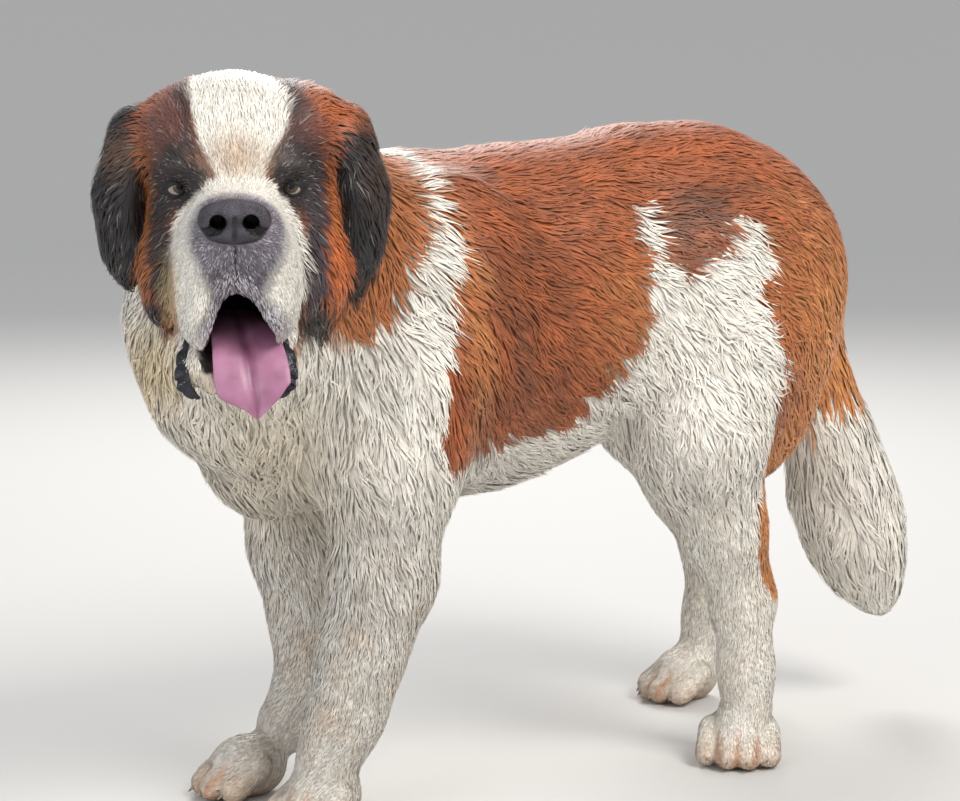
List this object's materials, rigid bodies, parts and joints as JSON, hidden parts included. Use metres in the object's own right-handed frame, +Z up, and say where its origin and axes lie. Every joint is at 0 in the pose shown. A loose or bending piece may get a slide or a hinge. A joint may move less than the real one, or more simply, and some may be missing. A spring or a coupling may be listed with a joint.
{
  "type": "saint bernard dog",
  "caption": "Life-size standing Saint Bernard, head turned to its left, mouth open with the tongue out, red and white coat, tail hanging.",
  "frame": {"origin": "centre of the bounding box, on the floor under the paws", "axes": "+X from the head towards the tail, -Y the dog's left side, +Z up"},
  "size_m": [1.2614, 0.5442, 0.8767],
  "materials": {
    "coat_red": "red-brown hair",
    "coat_white": "white hair",
    "coat_dark": "black-brown hair",
    "tongue": "wet, smooth",
    "nose": "moist, pebbled",
    "eye": "wet, glossy",
    "claw": "horn"
  },
  "bodies": {
    "root": {"trunk": "coat_red", "neck": "coat_white", "head": "coat_red", "lower_jaw": "coat_white", "tongue": "tongue", "nose": "nose", "ear_left": "coat_dark", "ear_right": "coat_dark", "eye_left": "eye", "eye_right": "eye", "tail": "coat_white", "leg_fore_left": "coat_white", "paw_fore_left": "coat_white", "claw_fore_left_1": "claw", "claw_fore_left_2": "claw", "claw_fore_left_3": "claw", "claw_fore_left_4": "claw", "leg_fore_right": "coat_white", "paw_fore_right": "coat_white", "claw_fore_right_1": "claw", "claw_fore_right_2": "claw", "claw_fore_right_3": "claw", "claw_fore_right_4": "claw", "leg_hind_left": "coat_white", "paw_hind_left": "coat_white", "claw_hind_left_1": "claw", "claw_hind_left_2": "claw", "claw_hind_left_3": "claw", "claw_hind_left_4": "claw", "leg_hind_right": "coat_white", "paw_hind_right": "coat_white", "claw_hind_right_1": "claw", "claw_hind_right_2": "claw", "claw_hind_right_3": "claw", "claw_hind_right_4": "claw"}
  },
  "joints": []
}
